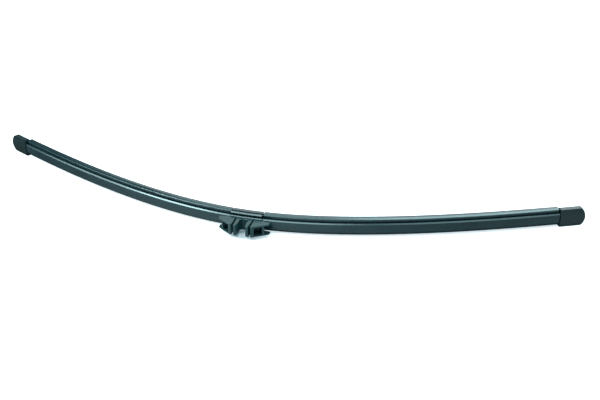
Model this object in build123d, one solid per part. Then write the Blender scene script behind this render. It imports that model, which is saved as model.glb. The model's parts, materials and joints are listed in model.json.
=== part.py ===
from build123d import *
from math import ceil, cos, degrees, exp, floor, radians, sin, sqrt
import os

# Flat rear wiper blade lying on its side, in millimetres.
# The origin is on the axis of the arm's pin. X runs along the blade, Y from arm to glass, Z across it.
# A cross-section is drawn as (depth, height): depth from the back face towards the glass, height across.

# Bow of the blade, along its back face
BLADE_LENGTH = 400.0
HUB_RADIUS = 158.0
TIP_RADIUS = 2560.0
BOW_DECAY = 69.0
ARC_LENGTH = 25.0

# Fits
SLIDE_GAP = 0.1
END_GAP = 0.5

# Steel flexors
FLEXOR_WIDTH = 3.3
FLEXOR_THICKNESS = 0.9
FLEXOR_SPACING = 1.6
NOTCH_LENGTH = 2.0
NOTCH_DEPTH = 0.6

# Back cover
SPINE_WIDTH = 6.3
SPINE_THICKNESS = 1.0
SPINE_CHAMFER = 0.65
SPINE_EDGE_RADIUS = 0.15
GROOVE_WIDTH = 0.8
GROOVE_DEPTH = 0.6
BASE_THICKNESS = 1.2
COVER_WALL = 0.9
COVER_SIDE_WALL = 1.3
COVER_SLOPE_LENGTH = 1.5
COVER_SLOPE_DROP = 0.8
COVER_EDGE_RADIUS = 0.8
COVER_CLAW = 1.15
CLAW_GRIP = 0.6

# Wiper rubber
HEAD_LIP_WIDTH = 3.8
HEAD_LIP_THICKNESS = 0.6
HEAD_BASE_WIDTH = 6.0
HEAD_BASE_THICKNESS = 1.0
NECK_WIDTH = 1.1
NECK_HEIGHT = 0.7
SHOULDER_WIDTH = 6.0
SHOULDER_THICKNESS = 1.1
SHOULDER_SLOPE = 0.9
LIP_ROOT_WIDTH = 1.5
LIP_EDGE_WIDTH = 0.7
LIP_HEIGHT = 2.3

# End caps
CAP_LENGTH = 15.3
CAP_WIDTH = 11.2
CAP_CROWN = 0.8
CAP_PROUD = 0.4
CAP_CLAW = 1.2
CAP_CHAMFER = 1.7
CAP_END_WALL = 2.5
CAP_END_RADIUS = 8.8
CAP_CORNER_RADIUS = 1.6
CAP_EDGE_RADIUS = 0.5
RUBBER_IN_CAP = 2.5
CAP_NIB_PLACE = 7.0

# Centre bracket
BRACKET_LENGTH = 19.0
BRACKET_WIDTH = 11.2
BRACKET_CLAW = 1.0
BRACKET_CHAMFER = 0.5
LEDGE_WIDTH = 0.6
LEDGE_CHAMFER = 0.4
FRONT_GROOVE_WIDTH = 1.2
FRONT_GROOVE_DEPTH = 0.7
RIB_GROOVE_PLACE = 1.2
RIB_GROOVE_WIDTH = 1.3
RIB_GROOVE_DEPTH = 1.2
POCKET_DEPTH = 1.5
POCKET_END_WALL = 1.0

# Connector
PIN_RADIUS = 2.5
PIN_GAP = 0.05
CONNECTOR_WIDTH = 6.9
FOOT_WIDTH = 5.0
SEAT_FLOOR = 2.45
JAW_REACH = 5.7
JAW_ROOT_WALL = 2.35
JAW_TIP_WALL = 1.6
SNAP_LIP = 0.4
LEAD_IN = 0.35
SLIT_WIDTH = 0.75
SLIT_FLOOR = 1.6
FACE_SLOPE = 33.0
FACE_LENGTH = 10.7
FRONT_FLAT = 0.6
TAIL_POINT = 0.2
TAIL_WIDTH = 2.6
FLANGE_THICKNESS = 0.9
WEB_THICKNESS = 5.0
WEB_LENGTH = 8.0
SIDE_WALL = 1.2
WINDOW_START = 1.8
WINDOW_LENGTH = 5.0
WINDOW_DEPTH = 4.2
FOOT_GAP = 0.1
SNAP_RIDGE = 0.25
SNAP_RIDGE_WIDTH = 0.5
MOULD_RADIUS = 0.3
MOULD_CHAMFER = 0.2

# Places worked out from the sizes above
BACK_Y = PIN_RADIUS + PIN_GAP + SEAT_FLOOR
GROOVE_END = SPINE_THICKNESS + GROOVE_WIDTH
POCKET_TOP = GROOVE_END + BASE_THICKNESS
FLEXOR_TOP = POCKET_TOP + SLIDE_GAP
FLEXOR_BOTTOM = FLEXOR_TOP + FLEXOR_THICKNESS
POCKET_BOTTOM = FLEXOR_BOTTOM + SLIDE_GAP
FLEXOR_INNER = FLEXOR_SPACING / 2
FLEXOR_OUTER = FLEXOR_INNER + FLEXOR_WIDTH
POCKET_SIDE = FLEXOR_OUTER + SLIDE_GAP
HEAD_TOP = POCKET_TOP - HEAD_LIP_THICKNESS
HEAD_BOTTOM = POCKET_BOTTOM + HEAD_BASE_THICKNESS
HEAD_ROOM = HEAD_TOP - SLIDE_GAP
HEAD_SIDE = HEAD_LIP_WIDTH / 2 + SLIDE_GAP
SLOT_SIDE = HEAD_BASE_WIDTH / 2 + SLIDE_GAP
CAP_MOUTH = BLADE_LENGTH / 2 - CAP_LENGTH
FLEXOR_END = BLADE_LENGTH / 2 - CAP_END_WALL - END_GAP
RUBBER_END = CAP_MOUTH + RUBBER_IN_CAP
CAP_NIB = CAP_MOUTH + CAP_NIB_PLACE
BRACKET_END = BRACKET_LENGTH / 2
SEAT_RADIUS = PIN_RADIUS + PIN_GAP
FOOT_LENGTH = BRACKET_LENGTH - 2 * (POCKET_END_WALL + FOOT_GAP)
SLIT_END = BACK_Y - SLIT_FLOOR


def arcs_between(start, end):
    """Stretches of the back line that have one bend each: (start, end, curvature)."""
    cuts = [i * ARC_LENGTH for i in range(floor(start / ARC_LENGTH) + 1, ceil(end / ARC_LENGTH))]
    stops = [start, *cuts, end]
    stretches = []
    for a, b in zip(stops, stops[1:]):
        middle = (floor((a + b) / 2 / ARC_LENGTH) + 0.5) * ARC_LENGTH
        relaxed = exp(-abs(middle) / BOW_DECAY)
        stretches.append((a, b, relaxed / HUB_RADIUS + (1 - relaxed) / TIP_RADIUS))
    return stretches


def pose(distance):
    """Point and heading in radians of the back line at a distance from the middle."""
    x, y, heading = 0.0, BACK_Y, 0.0
    for a, b, curvature in arcs_between(0.0, abs(distance)):
        turned = heading + curvature * (b - a)
        x += (sin(turned) - sin(heading)) / curvature
        y += (cos(heading) - cos(turned)) / curvature
        heading = turned
    side = 1 if distance >= 0 else -1
    return (side * x, y), side * heading


def section_plane(distance):
    """Plane across the blade: its own X is depth, its own Y is height."""
    (x, y), heading = pose(distance)
    return Plane((x, y, 0), x_dir=(-sin(heading), cos(heading), 0), z_dir=(cos(heading), sin(heading), 0))


def along(section, start, end):
    """Solid with this cross-section along the bow of the blade."""
    arcs = []
    for a, b, curvature in arcs_between(start, end):
        point, heading = pose(a)
        turn = degrees(curvature * (b - a))
        arcs.append(JernArc(point, (cos(heading), sin(heading)), 1 / curvature, turn))
    return sweep(section_plane(start) * section, path=Wire(arcs))


def symmetrical(points, rounds=()):
    """Cross-section from the (depth, height) points of its upper half, with some corners rounded."""
    face = make_face(Polyline(*points, *[(d, -h) for d, h in reversed(points)], close=True))
    for (depth, height), radius in rounds:
        pair = [face.vertices().sort_by_distance((depth, side))[0] for side in (height, -height)]
        face = fillet(pair, radius)
    return face


def slab(depth_from, depth_to, height_from, height_to):
    """Rectangular cross-section."""
    centre = Pos((depth_from + depth_to) / 2, (height_from + height_to) / 2)
    return centre * Rectangle(depth_to - depth_from, height_to - height_from)


def flexor_room(claw_end):
    """Cross-section of the hollow that holds both flexors and the rubber's head, open towards the glass."""
    return symmetrical([
        (HEAD_ROOM, HEAD_SIDE),
        (POCKET_TOP, HEAD_SIDE),
        (POCKET_TOP, POCKET_SIDE),
        (POCKET_BOTTOM, POCKET_SIDE),
        (POCKET_BOTTOM, SLOT_SIDE),
        (claw_end, SLOT_SIDE),
    ])


def notch_section(clearance):
    """Cross-section of the upper flexor's notch, or of the nib in it with a clearance."""
    return slab(POCKET_TOP, POCKET_BOTTOM, FLEXOR_OUTER - NOTCH_DEPTH + clearance, POCKET_SIDE)


def nibs(place):
    """Nibs on both sides that fit the flexor's notches at this place, with room at their ends."""
    half = NOTCH_LENGTH / 2 - SLIDE_GAP
    nib = along(notch_section(SLIDE_GAP), place - half, place + half)
    return nib + mirror(nib, about=Plane.XY)


def make_rubber():
    """One extruded strip: grooved head, neck, shoulders and the tapered lip."""
    shoulder_top = HEAD_BOTTOM + NECK_HEIGHT
    shoulder_edge = shoulder_top + SHOULDER_THICKNESS
    lip_root = shoulder_edge + SHOULDER_SLOPE
    groove_floor = FLEXOR_INNER - SLIDE_GAP
    section = symmetrical([
        (HEAD_TOP, HEAD_LIP_WIDTH / 2),
        (POCKET_TOP, HEAD_LIP_WIDTH / 2),
        (POCKET_TOP, groove_floor),
        (POCKET_BOTTOM, groove_floor),
        (POCKET_BOTTOM, HEAD_BASE_WIDTH / 2),
        (HEAD_BOTTOM, HEAD_BASE_WIDTH / 2),
        (HEAD_BOTTOM, NECK_WIDTH / 2),
        (shoulder_top, NECK_WIDTH / 2),
        (shoulder_top, SHOULDER_WIDTH / 2),
        (shoulder_edge, SHOULDER_WIDTH / 2),
        (lip_root, LIP_ROOT_WIDTH / 2),
        (lip_root + LIP_HEIGHT, LIP_EDGE_WIDTH / 2),
    ])
    return along(section, -RUBBER_END, RUBBER_END)


def make_flexor():
    """Upper spring-steel strip with notches in its outer edge at the middle and near both ends."""
    strip = along(slab(FLEXOR_TOP, FLEXOR_BOTTOM, FLEXOR_INNER, FLEXOR_OUTER), -FLEXOR_END, FLEXOR_END)
    for place in (-CAP_NIB, 0.0, CAP_NIB):
        strip -= along(notch_section(0.0), place - NOTCH_LENGTH / 2, place + NOTCH_LENGTH / 2)
    return strip


def make_cover():
    """Right half of the back cover: hollow spine, side grooves and a base that clips over the flexors."""
    spine = SPINE_WIDTH / 2
    spine_front = spine - SPINE_CHAMFER
    far_side = POCKET_SIDE + COVER_SIDE_WALL
    claw_end = POCKET_BOTTOM + COVER_CLAW
    grip = POCKET_SIDE - CLAW_GRIP
    groove = spine - GROOVE_DEPTH
    shoulder = (GROOVE_END, far_side - COVER_SLOPE_DROP)
    section = symmetrical(
        [
            (0.0, spine_front),
            (SPINE_CHAMFER, spine),
            (SPINE_THICKNESS, spine),
            (SPINE_THICKNESS, groove),
            (GROOVE_END, groove),
            shoulder,
            (GROOVE_END + COVER_SLOPE_LENGTH, far_side),
            (claw_end, far_side),
            (claw_end, grip),
            (POCKET_BOTTOM, grip),
            (POCKET_BOTTOM, POCKET_SIDE),
            (POCKET_TOP, POCKET_SIDE),
            (POCKET_TOP, HEAD_SIDE),
            (HEAD_ROOM, HEAD_SIDE),
            (HEAD_ROOM, groove - COVER_WALL),
            (COVER_WALL, groove - COVER_WALL),
        ],
        [
            ((0.0, spine_front), SPINE_EDGE_RADIUS),
            ((SPINE_CHAMFER, spine), SPINE_EDGE_RADIUS),
            (shoulder, COVER_EDGE_RADIUS),
        ],
    )
    return along(section, BRACKET_END + END_GAP, CAP_MOUTH - END_GAP)


def make_cap():
    """Right end cap: crowned sleeve with a rounded end, closed over the flexors' ends."""
    side = CAP_WIDTH / 2
    claw_end = POCKET_BOTTOM + CAP_CLAW
    front = CAP_CROWN - CAP_PROUD
    crown = ThreePointArc((front, -side), (-CAP_PROUD, 0), (front, side))
    upper_rim = [(front, side), (claw_end - CAP_CHAMFER, side), (claw_end, side - CAP_CHAMFER)]
    rim = Polyline(*upper_rim, *[(d, -h) for d, h in reversed(upper_rim)])
    across = section_plane(CAP_MOUTH)
    sleeve = extrude(across * make_face(Wire([crown, *rim.edges()])), CAP_LENGTH)

    # Outline of the cap seen square to its back, with the rounded end
    bulge = CAP_END_RADIUS - sqrt(CAP_END_RADIUS**2 - side**2)
    corner = CAP_LENGTH - bulge
    end_arc = ThreePointArc((corner, side), (CAP_LENGTH, 0), (corner, -side))
    straight = Polyline((corner, -side), (0, -side), (0, side), (corner, side))
    outline = make_face(Wire([end_arc, *straight.edges()]))
    outline = fillet(outline.vertices().sort_by(Axis.X)[-2:], CAP_CORNER_RADIUS)
    square = Plane(across.origin, x_dir=across.z_dir, z_dir=-across.x_dir)
    body = sleeve & extrude(square * outline, CAP_WIDTH, both=True)

    # Rounded edges all round the back and the glass side, but not at the mouth
    lengthwise = Axis(across.origin, across.z_dir)
    through = body.faces().sort_by(Axis(across.origin, across.x_dir))
    for face, radius in ((through[0], CAP_EDGE_RADIUS), (through[-1], CAP_EDGE_RADIUS / 2)):
        body = fillet(face.edges().sort_by(lengthwise)[1:], radius)

    # Hollow for the flexors, with a shorter one for the rubber, and the nibs left standing in it
    strips = slab(POCKET_TOP, POCKET_BOTTOM, -POCKET_SIDE, POCKET_SIDE)
    body -= along(strips, CAP_MOUTH, FLEXOR_END + END_GAP)
    body -= along(flexor_room(claw_end), CAP_MOUTH, RUBBER_END + END_GAP)
    return body + nibs(CAP_NIB)


def make_bracket():
    """Ribbed block that grips both flexors, with a pocket for the connector's foot."""
    side = BRACKET_WIDTH / 2
    claw_end = POCKET_BOTTOM + BRACKET_CLAW
    ledge = FOOT_WIDTH / 2 + FOOT_GAP + LEDGE_WIDTH
    rib = ledge + FRONT_GROOVE_WIDTH
    rib_end = RIB_GROOVE_PLACE + RIB_GROOVE_WIDTH
    section = symmetrical([
        (0.0, ledge - LEDGE_CHAMFER),
        (LEDGE_CHAMFER, ledge),
        (FRONT_GROOVE_DEPTH, ledge),
        (FRONT_GROOVE_DEPTH, rib),
        (0.0, rib),
        (0.0, side - BRACKET_CHAMFER),
        (BRACKET_CHAMFER, side),
        (RIB_GROOVE_PLACE, side),
        (RIB_GROOVE_PLACE, side - RIB_GROOVE_DEPTH),
        (rib_end, side - RIB_GROOVE_DEPTH),
        (rib_end, side),
        (claw_end, side),
    ])
    section -= flexor_room(claw_end)
    body = along(section, -BRACKET_END, BRACKET_END)
    half = FOOT_LENGTH / 2 + FOOT_GAP
    body -= along(foot_section(FOOT_GAP), -half, half)
    return body + nibs(0.0)


def foot_section(clearance):
    """Cross-section of the connector's foot, or of its pocket with a clearance."""
    side = FOOT_WIDTH / 2 + clearance
    ridge = side + SNAP_RIDGE
    bottom = POCKET_DEPTH - FOOT_GAP + clearance
    ridge_from = POCKET_DEPTH - FOOT_GAP - SNAP_RIDGE_WIDTH - clearance
    front = -SLIT_FLOOR / 2
    return symmetrical([(front, side), (ridge_from, side), (ridge_from, ridge), (bottom, ridge)])


def chamfered(solid):
    """The solid with its upper and lower rims chamfered, but not where it meets its mirror image."""
    faces = solid.faces().sort_by(Axis.Z)
    rims = [*faces[0].edges(), *faces[-1].edges()]
    return chamfer([edge for edge in rims if edge.center().X > MOULD_CHAMFER], MOULD_CHAMFER)


def make_jaw():
    """Right jaw: half of the pin's seat, the snap lip, the flared tip and the slit side."""
    lip_x = SEAT_RADIUS - SNAP_LIP
    lip_y = -sqrt(SEAT_RADIUS**2 - lip_x**2)
    tip_x = SEAT_RADIUS + LEAD_IN
    root_x = SEAT_RADIUS + JAW_ROOT_WALL
    seat = ThreePointArc((0, SEAT_RADIUS), (SEAT_RADIUS, 0), (lip_x, lip_y))
    rest = Polyline(
        (lip_x, lip_y),
        (tip_x, -JAW_REACH),
        (tip_x + JAW_TIP_WALL, -JAW_REACH),
        (root_x, SLIT_END),
        (0, SLIT_END),
        (0, SEAT_RADIUS),
    )
    plan = make_face(Wire([seat, *rest.edges()]))
    plan = fillet(plan.vertices().sort_by(Axis.Y)[:2], MOULD_RADIUS)
    return chamfered(extrude(plan, CONNECTOR_WIDTH / 2, both=True))


def make_end_block():
    """Right end block: two flanges with tails, joined by a slanted web that has a blind window."""
    inner = SEAT_RADIUS + JAW_ROOT_WALL + SLIT_WIDTH
    slope = radians(FACE_SLOPE)
    corner = (inner + FRONT_FLAT, -JAW_REACH)
    face_end = (corner[0] + FACE_LENGTH * cos(slope), corner[1] + FACE_LENGTH * sin(slope))
    tail = (face_end[0] + TAIL_POINT, face_end[1] + TAIL_WIDTH)
    plan = make_face(Polyline(
        (inner, SLIT_END),
        (inner, corner[1] + FRONT_FLAT),
        corner,
        face_end,
        tail,
        (FOOT_LENGTH / 2, SLIT_END),
        close=True,
    ))
    plan = fillet(plan.vertices().sort_by(Axis.X)[-2:], MOULD_RADIUS)
    block = chamfered(extrude(plan, CONNECTOR_WIDTH / 2, both=True))

    # The space between the flanges: behind the web, past its end, and in its window
    on_face = Location((corner[0], corner[1], 0), (0, 0, FACE_SLOPE))
    reach = FACE_LENGTH + TAIL_WIDTH + TAIL_POINT + JAW_REACH + SLIT_END
    behind_web = on_face * Pos(0, WEB_THICKNESS + reach / 2) * Rectangle(2 * reach, reach)
    beyond_wall = Pos(inner + SIDE_WALL + reach / 2, 0) * Rectangle(reach, 2 * reach)
    past_end = on_face * Pos(WEB_LENGTH + reach / 2, 0) * Rectangle(reach, 2 * reach)
    window = on_face * Pos(WINDOW_START + WINDOW_LENGTH / 2, 0) * Rectangle(WINDOW_LENGTH, 2 * WINDOW_DEPTH)
    hollow = (behind_web + past_end + window) & beyond_wall
    return block - extrude(hollow, CONNECTOR_WIDTH / 2 - FLANGE_THICKNESS, both=True)


def make_connector():
    """One moulding: foot, base, two spring jaws around the pin's seat and two end blocks."""
    base_depth = SLIT_FLOOR - FOOT_GAP
    base = Pos(0, SLIT_END + base_depth / 2) * Rectangle(FOOT_LENGTH, base_depth)
    half = make_jaw() + make_end_block()
    body = extrude(base, FOOT_WIDTH / 2, both=True) + half + mirror(half, about=Plane.YZ)
    return body + along(foot_section(0.0), -FOOT_LENGTH / 2, FOOT_LENGTH / 2)


def main():
    flexor = make_flexor()
    cover = make_cover()
    cap = make_cap()
    pieces = {
        "wiper_rubber": make_rubber(),
        "flexor_upper": flexor,
        "flexor_lower": mirror(flexor, about=Plane.XY),
        "cover_right": cover,
        "cover_left": mirror(cover, about=Plane.YZ),
        "end_cap_right": cap,
        "end_cap_left": mirror(cap, about=Plane.YZ),
        "centre_bracket": make_bracket(),
        "connector": make_connector(),
    }
    os.makedirs("parts", exist_ok=True)
    for name, shape in pieces.items():
        export_step(shape, f"parts/{name}.step")


main()
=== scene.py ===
"""Looks of a flat rear wiper blade that lies on its side: finishes, floor, light and camera, in metres."""
import json
from math import cos, radians, sin

import bpy
import numpy as np
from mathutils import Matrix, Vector


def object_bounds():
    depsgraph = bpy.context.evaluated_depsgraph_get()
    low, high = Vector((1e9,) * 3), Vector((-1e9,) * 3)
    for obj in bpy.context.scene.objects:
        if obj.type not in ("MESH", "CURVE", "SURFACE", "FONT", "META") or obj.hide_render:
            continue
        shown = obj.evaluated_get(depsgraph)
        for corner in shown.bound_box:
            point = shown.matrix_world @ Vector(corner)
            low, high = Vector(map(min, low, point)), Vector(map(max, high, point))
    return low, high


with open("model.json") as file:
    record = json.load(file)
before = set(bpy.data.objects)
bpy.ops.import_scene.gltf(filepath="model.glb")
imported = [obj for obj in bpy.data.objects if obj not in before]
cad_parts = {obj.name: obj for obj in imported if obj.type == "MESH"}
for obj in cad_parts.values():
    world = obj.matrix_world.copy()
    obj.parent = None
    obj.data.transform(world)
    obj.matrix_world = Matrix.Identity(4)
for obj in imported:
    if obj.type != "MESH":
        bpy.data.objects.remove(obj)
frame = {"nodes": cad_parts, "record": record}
CAD_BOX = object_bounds()
MM = 0.001
WHITE = (1.0, 1.0, 1.0)

# Camera
AIM = Vector((20.8, 45.5, -3.2)) * MM
CAMERA_DISTANCE = 582.1 * MM
CAMERA_AZIMUTH = 16.0
CAMERA_PITCH = 28.26
LENS = 57.0
SENSOR = 36.0

# Attribute that follows the bow: distance along it, depth from the flexors' middle, height
BOW = "bow"
BOW_DEGREE = 10
STATION_STEP = 0.5 * MM

# Finishes: darkest and lightest tone, smoothest and roughest place, lines along the bow and grains a metre
FINISHES = {
    "cover_plastic": {
        "tones": ((0.004, 0.021, 0.027), (0.008, 0.031, 0.038)),
        "roughness": (0.17, 0.25),
        "specular": 0.8,
        "lines": 3000.0,
        "line_depth": 0.02 * MM,
        "grain": 5000.0,
        "grain_depth": 0.003 * MM,
    },
    "cap_plastic": {
        "tones": ((0.003, 0.014, 0.017), (0.006, 0.022, 0.026)),
        "roughness": (0.26, 0.36),
        "specular": 0.8,
        "lines": 500.0,
        "line_depth": 0.005 * MM,
        "grain": 3000.0,
        "grain_depth": 0.012 * MM,
    },
    "bracket_plastic": {
        "tones": ((0.004, 0.021, 0.027), (0.008, 0.031, 0.038)),
        "roughness": (0.17, 0.25),
        "specular": 0.8,
        "lines": 700.0,
        "line_depth": 0.006 * MM,
        "grain": 3500.0,
        "grain_depth": 0.008 * MM,
    },
    "connector_plastic": {
        "tones": ((0.007, 0.035, 0.041), (0.014, 0.054, 0.060)),
        "roughness": (0.26, 0.36),
        "specular": 0.45,
        "lines": 700.0,
        "line_depth": 0.006 * MM,
        "grain": 3500.0,
        "grain_depth": 0.008 * MM,
    },
    "rubber": {
        "tones": ((0.014, 0.017, 0.018), (0.036, 0.041, 0.043)),
        "roughness": (0.40, 0.58),
        "specular": 0.5,
        "lines": 2500.0,
        "line_depth": 0.01 * MM,
        "grain": 6000.0,
        "grain_depth": 0.006 * MM,
    },
    "flexor_steel": {
        "tones": ((0.018, 0.021, 0.022), (0.030, 0.034, 0.036)),
        "roughness": (0.30, 0.42),
        "specular": 0.6,
        "lines": 4000.0,
        "line_depth": 0.004 * MM,
        "grain": 4000.0,
        "grain_depth": 0.004 * MM,
    },
}
SPECULAR_TINT = (0.64, 0.96, 1.0)

# Noise of the finishes: clouds a metre along and across the bow, length of a line in widths, range in use
CLOUDS = (60.0, 250.0, 250.0)
LINE_STRETCH = 60.0
COARSE_DETAIL = 3.0
FINE_DETAIL = 2.0
NOISE_RANGE = (0.3, 0.7)

# Soft boxes: direction from the blade, width and height, radiance
LIGHT_TARGET = Vector((0.0, 30.0, 0.0)) * MM
LIGHT_DISTANCE = 1.1
SOFT_BOXES = {
    "key_left_front": ((-0.62, -0.36, 0.70), (0.36, 0.36), 14.0),
    "above_right": ((0.35, 0.19, 0.92), (0.36, 0.72), 5.4),
    "above_front": ((-0.14, -0.49, 0.86), (0.75, 0.36), 4.5),
    "above_left": ((-0.25, 0.11, 0.96), (0.36, 0.70), 1.9),
    "side_left": ((-0.80, -0.17, 0.57), (0.36, 0.36), 4.5),
    "front_right": ((0.52, -0.29, 0.80), (0.50, 0.36), 1.6),
    "panel_behind": ((-0.15, 0.86, 0.48), (0.85, 0.36), 1.0),
    "panel_behind_right": ((0.30, 0.83, 0.47), (0.30, 0.36), 1.7),
}

# Power of a lamp for each square metre of it and each unit of radiance
WATTS_PER_RADIANCE = 4.0

# Surroundings: how bright they are to the eye, and in a reflection from the left end to the middle
WORLD_SEEN = 1.0
WORLD_MIRRORED = (0.1, 0.5)
WORLD_LEFT_TO_MIDDLE = (-0.55, -0.25)

# Floor: what it throws back of the light, and its glow to the eye by distance from the hub, which sets the
# tone left in its shadows; within about 22 mm of the hub the glow is darkened into a painted shadow
FLOOR_SIZE = 8.0
FLOOR_TONE = (0.78, 0.92, 0.96)
SHADOW_TONE = (0.66, 0.76, 0.80)
FLOOR_GLOW_AND_PAINTED_SHADOW = {
    3.0 * MM: (0.06, 0.13, 0.15),
    10.0 * MM: (0.54, 0.66, 0.70),
    22.0 * MM: SHADOW_TONE,
    350.0 * MM: SHADOW_TONE,
    1000.0 * MM: WHITE,
}

# Floor as a reflection shows it: its plain tone, and painted pools of light with a centre, a radius and the
# tone they add
MIRRORED_TONE = 0.10
PAINTED_LIGHT_POOLS = [
    ((0.0, 0.0), 190.0 * MM, 0.42),
    ((195.0 * MM, 45.0 * MM), 110.0 * MM, 0.22),
]


def node(tree, kind, inputs=(), **settings):
    """New shader node with its settings, and its inputs set to values or linked to sockets."""
    made = tree.nodes.new(kind)
    for name, value in settings.items():
        setattr(made, name, value)
    for name, value in dict(inputs).items():
        if isinstance(value, bpy.types.NodeSocket):
            tree.links.new(value, made.inputs[name])
        else:
            made.inputs[name].default_value = value
    return made


def combined(tree, operation, first, second):
    """One number made of two."""
    return node(tree, "ShaderNodeMath", {0: first, 1: second}, operation=operation).outputs[0]


def mapped(tree, value, source, target, **settings):
    """A number carried from one range to another, and kept inside it."""
    inputs = {"Value": value}
    inputs["From Min"], inputs["From Max"] = source
    inputs["To Min"], inputs["To Max"] = target
    return node(tree, "ShaderNodeMapRange", inputs, **settings).outputs["Result"]


def mixed(tree, factor, first, second):
    """Colour between two colours."""
    inputs = {"Factor": factor, "A": first, "B": second}
    return node(tree, "ShaderNodeMix", inputs, data_type="RGBA").outputs["Result"]


def ramp(tree, value, stops):
    """Colour that runs between the stops as the value goes from 0 to 1."""
    made = node(tree, "ShaderNodeValToRGB", {"Fac": value})
    made.color_ramp.interpolation = "EASE"
    elements = made.color_ramp.elements
    for position in list(stops)[len(elements):]:
        elements.new(position)
    for element, (position, colour) in zip(elements, stops.items()):
        element.position = position
        element.color = (*colour, 1.0)
    return made.outputs["Color"]


def noise(tree, coordinates, per_metre, detail):
    """Noise whose grains are so many a metre in each direction of the coordinates."""
    scaled = node(tree, "ShaderNodeVectorMath", {0: coordinates, 1: per_metre}, operation="MULTIPLY")
    texture = node(tree, "ShaderNodeTexNoise", {"Vector": scaled.outputs[0], "Scale": 1.0, "Detail": detail})
    return texture.outputs["Fac"]


def corners(mesh):
    """Vertex coordinates of a mesh as rows of an array."""
    flat = np.zeros(len(mesh.vertices) * 3)
    mesh.vertices.foreach_get("co", flat)
    return flat.reshape(-1, 3)


def bow_stations():
    """Points, directions and distances along the middle line of the flexors, seen in plan."""
    points = np.vstack([corners(frame["nodes"][name].data) for name in ("flexor_upper", "flexor_lower")])
    line = np.polynomial.Polynomial.fit(points[:, 0], points[:, 1], BOW_DEGREE)
    reach = np.abs(points[:, 0]).max()
    x = np.arange(-reach, reach, STATION_STEP)
    plan = np.column_stack([x, line(x)])
    slope = line.deriv()(x)
    direction = np.column_stack([np.ones_like(x), slope]) / np.hypot(1.0, slope)[:, None]
    steps = np.hypot(*np.diff(plan, axis=0).T)
    distance = np.concatenate([[0.0], np.cumsum(steps)])
    return plan, direction, distance - distance[len(x) // 2]


def add_bow_attribute(mesh, stations):
    """Gives each corner of a mesh its place along the bow, its depth and its height."""
    plan, direction, distance = stations
    points = corners(mesh)
    nearest = np.array([np.argmin(((plan - point[:2]) ** 2).sum(axis=1)) for point in points])
    offset = points[:, :2] - plan[nearest]
    ahead = (offset * direction[nearest]).sum(axis=1)
    depth = offset[:, 1] * direction[nearest, 0] - offset[:, 0] * direction[nearest, 1]
    values = np.column_stack([distance[nearest] + ahead, depth, points[:, 2]])
    layer = mesh.attributes.new(BOW, "FLOAT_VECTOR", "POINT")
    layer.data.foreach_set("vector", values.astype(np.float32).ravel())


def finish(slot, tones, roughness, specular, lines, line_depth, grain, grain_depth):
    """Satin plastic, rubber or paint: clouds of two tones, lines along the bow, and a fine grain."""
    material = bpy.data.materials.new(slot)
    material.use_nodes = True
    tree = material.node_tree
    shader = tree.nodes["Principled BSDF"]
    bow = node(tree, "ShaderNodeAttribute", attribute_name=BOW).outputs["Vector"]
    place = node(tree, "ShaderNodeTexCoord").outputs["Object"]

    clouds = noise(tree, bow, CLOUDS, COARSE_DETAIL)
    drawn = noise(tree, bow, (lines / LINE_STRETCH, lines, lines), COARSE_DETAIL)
    pits = noise(tree, place, (grain, grain, grain), FINE_DETAIL)
    dark, light = tones
    cloudiness = mapped(tree, clouds, NOISE_RANGE, (0.0, 1.0))
    cloudy = mixed(tree, cloudiness, (*dark, 1.0), (*light, 1.0))
    tree.links.new(cloudy, shader.inputs["Base Color"])

    worn = combined(tree, "MULTIPLY", combined(tree, "ADD", clouds, drawn), 0.5)
    tree.links.new(mapped(tree, worn, NOISE_RANGE, roughness), shader.inputs["Roughness"])

    coarse = node(tree, "ShaderNodeBump", {"Height": drawn, "Distance": line_depth})
    fine = node(tree, "ShaderNodeBump", {
        "Height": pits, "Distance": grain_depth, "Normal": coarse.outputs["Normal"]})
    tree.links.new(fine.outputs["Normal"], shader.inputs["Normal"])
    shader.inputs["Specular IOR Level"].default_value = specular
    shader.inputs["Specular Tint"].default_value = (*SPECULAR_TINT, 1.0)
    return material


def dress_nodes():
    """Puts each node's finish on it."""
    stations = bow_stations()
    finishes = {slot: finish(slot, **values) for slot, values in FINISHES.items()}
    slots = {subpart["node"]: subpart["material_slot"] for subpart in frame["record"]["subparts"]}
    for name, piece in frame["nodes"].items():
        add_bow_attribute(piece.data, stations)
        piece.data.materials.clear()
        piece.data.materials.append(finishes[slots[name]])


def seen_directly(tree, path):
    """1 for the camera and for what is seen through a piece, 0 for light and reflections."""
    return combined(tree, "MAXIMUM", path.outputs["Is Camera Ray"], path.outputs["Is Transmission Ray"])


def distance_on_floor(tree, x, y):
    """Distance of a place on the floor from a point of it."""
    place = node(tree, "ShaderNodeNewGeometry").outputs["Position"]
    point = Vector((x, y, CAD_BOX[0].z))
    return node(tree, "ShaderNodeVectorMath", {0: place, 1: point}, operation="DISTANCE").outputs["Value"]


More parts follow.
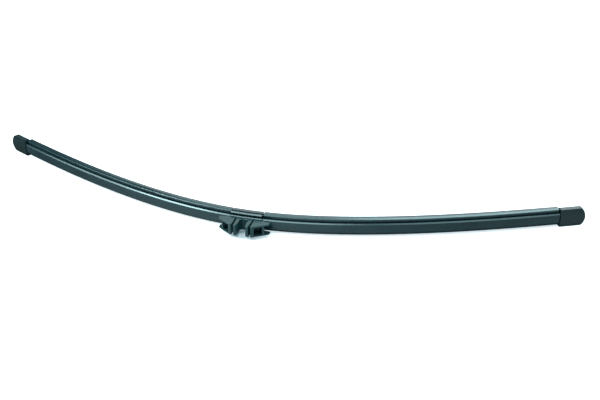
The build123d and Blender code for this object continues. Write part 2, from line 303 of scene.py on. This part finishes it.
def make_floor():
    """White floor that the blade lies on, which keeps the blade's cool shadow from the lamps; near the hub a
    painted shadow darkens its glow, and reflections show painted pools of light on it.
    """
    bpy.ops.mesh.primitive_plane_add(size=FLOOR_SIZE, location=(0.0, 0.0, CAD_BOX[0].z))
    floor = bpy.context.object
    floor.name = "floor"
    material = bpy.data.materials.new("floor_white")
    material.use_nodes = True
    tree = material.node_tree
    tree.nodes.remove(tree.nodes["Principled BSDF"])
    path = node(tree, "ShaderNodeLightPath")

    # Glow to the eye, darkened near the hub into a painted shadow
    shade = ramp(tree, distance_on_floor(tree, 0.0, 0.0), FLOOR_GLOW_AND_PAINTED_SHADOW)
    glow = node(tree, "ShaderNodeEmission", {"Color": shade, "Strength": seen_directly(tree, path)})

    # What reflections show of the floor: its plain tone, raised by painted pools of light
    mirrored = MIRRORED_TONE
    for centre, radius, added in PAINTED_LIGHT_POOLS:
        distance = distance_on_floor(tree, *centre)
        painted_pool = mapped(tree, distance, (0.0, radius), (added, 0.0), interpolation_type="SMOOTHSTEP")
        mirrored = combined(tree, "ADD", mirrored, painted_pool)
    tone = mixed(tree, path.outputs["Is Glossy Ray"], (*FLOOR_TONE, 1.0), mirrored)
    matte = node(tree, "ShaderNodeBsdfDiffuse", {"Color": tone})

    shown = node(tree, "ShaderNodeAddShader", {0: glow.outputs[0], 1: matte.outputs[0]})
    tree.links.new(shown.outputs[0], tree.nodes["Material Output"].inputs["Surface"])
    floor.data.materials.append(material)


def make_world():
    """Surroundings that are white to the eye and dimmer in a reflection, and light nothing else."""
    world = bpy.data.worlds.new("surroundings")
    world.use_nodes = True
    tree = world.node_tree
    path = node(tree, "ShaderNodeLightPath")
    direction = node(tree, "ShaderNodeTexCoord").outputs["Generated"]
    across = node(tree, "ShaderNodeSeparateXYZ", {0: direction}).outputs["X"]
    fading = mapped(tree, across, WORLD_LEFT_TO_MIDDLE, WORLD_MIRRORED, interpolation_type="SMOOTHSTEP")
    mirrored = combined(tree, "MULTIPLY", path.outputs["Is Glossy Ray"], fading)
    strength = mapped(tree, seen_directly(tree, path), (0.0, 1.0), (mirrored, WORLD_SEEN))
    background = tree.nodes["Background"]
    background.inputs["Color"].default_value = (*WHITE, 1.0)
    tree.links.new(strength, background.inputs["Strength"])
    bpy.context.scene.world = world


def make_soft_boxes():
    """Rectangular lights that face the blade."""
    for name, (direction, (width, height), radiance) in SOFT_BOXES.items():
        light = bpy.data.lights.new(name, "AREA")
        light.shape = "RECTANGLE"
        light.size = width
        light.size_y = height
        light.energy = WATTS_PER_RADIANCE * radiance * width * height
        lamp = bpy.data.objects.new(name, light)
        outward = Vector(direction).normalized()
        lamp.location = LIGHT_TARGET + outward * LIGHT_DISTANCE
        lamp.rotation_euler = outward.to_track_quat("Z", "Y").to_euler()
        lamp.visible_camera = False
        bpy.context.scene.collection.objects.link(lamp)


def make_camera():
    """Camera that looks at the blade from its arm side, a little from the right and from above."""
    azimuth = radians(CAMERA_AZIMUTH)
    pitch = radians(CAMERA_PITCH)
    forward = Vector((-sin(azimuth) * cos(pitch), cos(azimuth) * cos(pitch), -sin(pitch)))
    lens = bpy.data.cameras.new("camera")
    lens.lens = LENS
    lens.sensor_width = SENSOR
    camera = bpy.data.objects.new("camera", lens)
    camera.location = AIM - forward * CAMERA_DISTANCE
    camera.rotation_euler = forward.to_track_quat("-Z", "Y").to_euler()
    bpy.context.scene.collection.objects.link(camera)
    bpy.context.scene.camera = camera


dress_nodes()
make_floor()
make_world()
make_soft_boxes()
make_camera()
bpy.context.scene.view_settings.view_transform = "Standard"
